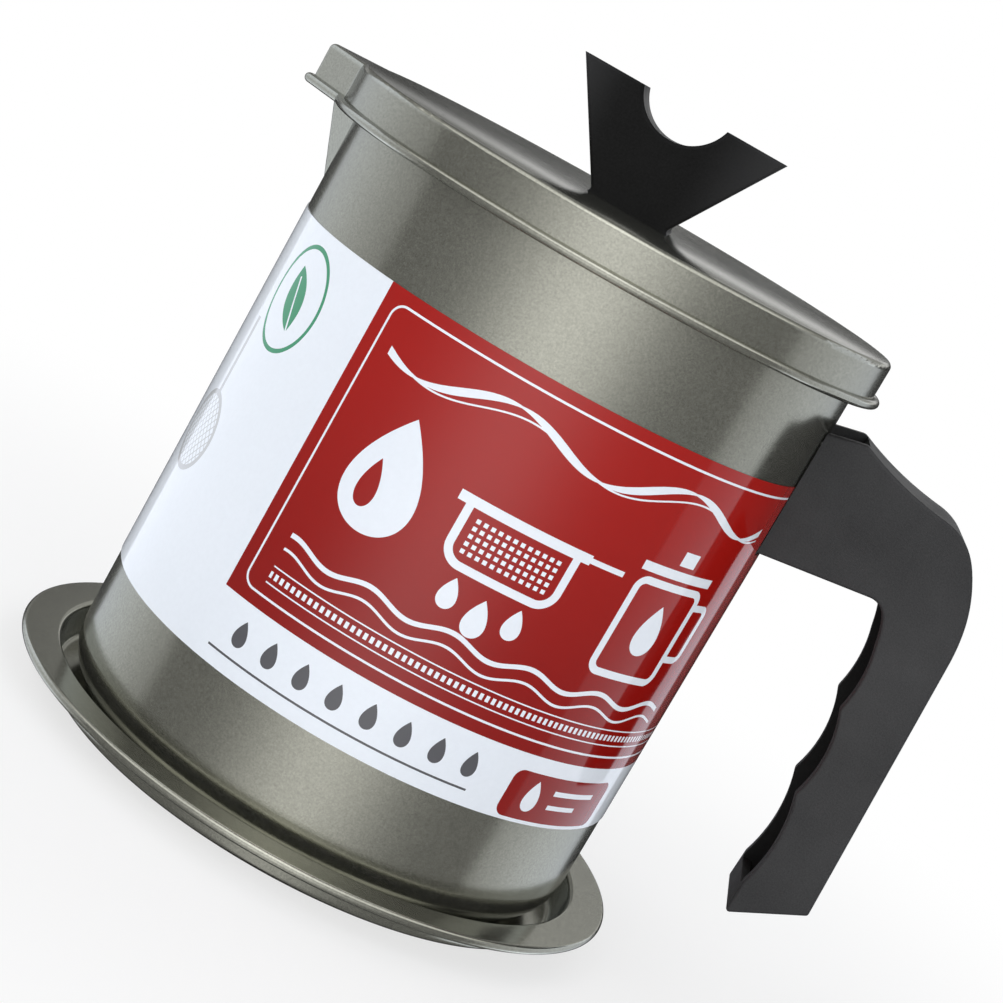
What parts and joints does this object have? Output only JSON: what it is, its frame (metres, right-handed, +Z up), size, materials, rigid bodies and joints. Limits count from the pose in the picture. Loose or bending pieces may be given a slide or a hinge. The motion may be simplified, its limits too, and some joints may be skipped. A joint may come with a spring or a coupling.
{
  "type": "cooking fat strainer pot",
  "caption": "Coated steel pot for keeping bacon grease, with V spout, side handle, lift-out mesh strainer, lid with V knob, printed sleeve and drip tray.",
  "frame": {"origin": "centre of the drip tray's underside", "axes": "+Z up along the pot's axis, +X out of the pot through the handle, -X out through the spout"},
  "size_m": [0.1899, 0.1502, 0.1765],
  "materials": {
    "coated_steel": "champagne-grey metallic non-stick coat, fine sparkle, satin",
    "label_film": "glossy printed film, white with a red panel",
    "handle_plastic": "dark grey moulded, finely textured",
    "knob_plastic": "black moulded, smooth satin",
    "strainer_steel": "bright stainless steel",
    "plated_steel": "zinc plated",
    "insert_brass": "turned brass"
  },
  "bodies": {
    "tray": {"drip_tray": "coated_steel"},
    "pot": {"pot_body": "coated_steel", "label_sleeve": "label_film", "handle_bracket": "plated_steel", "handle_grip": "handle_plastic", "handle_screws": "plated_steel", "handle_washers": "plated_steel"},
    "strainer": {"strainer_cup": "strainer_steel", "strainer_mesh": "strainer_steel", "strainer_ring": "strainer_steel"},
    "lid": {"lid_shell": "coated_steel", "lid_knob": "knob_plastic", "knob_insert": "insert_brass", "knob_screw": "plated_steel", "knob_washer": "plated_steel"}
  },
  "joints": [
    {"name": "pot_lift", "type": "slide", "parent": "tray", "child": "pot", "axis": [0, 0, 1], "range_m": [0, 0.05]},
    {"name": "strainer_lift", "type": "slide", "parent": "pot", "child": "strainer", "axis": [0, 0, 1], "range_m": [0, 0.06]},
    {"name": "lid_lift", "type": "slide", "parent": "strainer", "child": "lid", "axis": [0, 0, 1], "range_m": [0, 0.06]}
  ]
}
